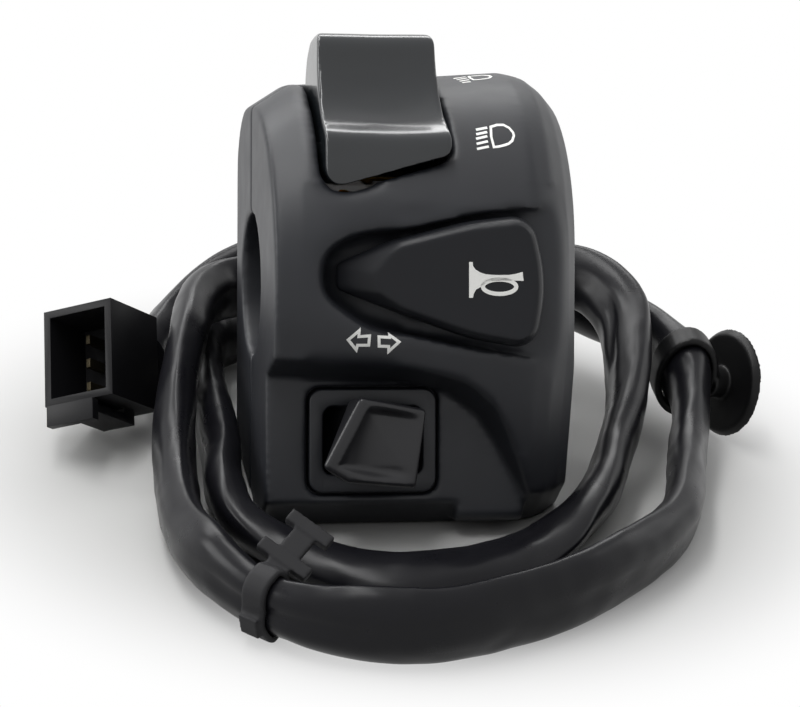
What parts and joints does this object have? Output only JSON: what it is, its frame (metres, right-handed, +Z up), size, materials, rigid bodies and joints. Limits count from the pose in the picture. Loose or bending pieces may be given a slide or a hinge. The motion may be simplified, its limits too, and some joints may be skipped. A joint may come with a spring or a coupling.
{
  "type": "handlebar switch cluster",
  "caption": "Left-hand handlebar switch cluster: clamshell housing with dimmer rocker, teardrop horn button and turn-signal knob, and a looped sleeved harness ending in a plug connector.",
  "frame": {"origin": "on the handlebar axis, at the middle of the clamp's width", "axes": "+X along the handlebar toward its grip-side end of the picture's right, +Y to the rear of the housing, away from the rider's thumb, +Z up; the housing leans back as it stands on its foot"},
  "size_m": [0.1211, 0.1258, 0.0718],
  "materials": {
    "housing_plastic": "fine-grained moulded",
    "switch_plastic": "polished moulded",
    "base_plastic": "natural moulded",
    "sleeve_vinyl": "soft satin vinyl",
    "wire_vinyl": "satin vinyl",
    "rubber": "matt",
    "clip_nylon": "satin moulded",
    "brass": "stamped",
    "steel": "zinc plated"
  },
  "bodies": {
    "housing": {"front_housing": "housing_plastic", "rear_housing": "housing_plastic", "housing_screws": "steel", "grommet": "rubber", "inner_wires": "wire_vinyl", "dimmer_pin": "steel", "dimmer_base": "base_plastic", "dimmer_contacts": "brass", "horn_base": "base_plastic", "horn_contacts": "brass", "horn_screws": "steel", "turn_bezel": "housing_plastic", "turn_base": "base_plastic", "turn_pin": "steel", "turn_contacts": "brass", "harness_sleeve": "sleeve_vinyl", "harness_strap": "rubber", "push_clip": "clip_nylon", "connector_shell": "clip_nylon", "connector_terminals": "brass", "connector_wires": "wire_vinyl"},
    "dimmer": {"dimmer_rocker": "switch_plastic", "dimmer_bridge": "brass"},
    "horn": {"horn_button": "switch_plastic", "horn_bridge": "brass"},
    "turn_lever": {"turn_carrier": "base_plastic", "turn_wiper": "brass"},
    "turn_knob": {"turn_knob": "switch_plastic"}
  },
  "joints": [
    {"name": "dimmer_rock", "type": "hinge", "parent": "housing", "child": "dimmer", "pos_m": [-0.0065, -0.00222, 0.02313], "axis": [-1, 0, 0], "range_deg": [0, 12]},
    {"name": "horn_press", "type": "slide", "parent": "housing", "child": "horn", "axis": [0.1305, 0.9317, -0.3391], "range_m": [0, 0.0018], "stiffness_N_per_m": 600, "springref_m": -0.003},
    {"name": "turn_swing", "type": "hinge", "parent": "housing", "child": "turn_lever", "pos_m": [-0.0077, -0.01508, -0.01952], "axis": [0, 0.342, 0.9397], "range_deg": [-10, 10]},
    {"name": "turn_push", "type": "slide", "parent": "turn_lever", "child": "turn_knob", "axis": [0, 0.9397, -0.342], "range_m": [0, 0.0012], "stiffness_N_per_m": 500, "springref_m": -0.002}
  ]
}
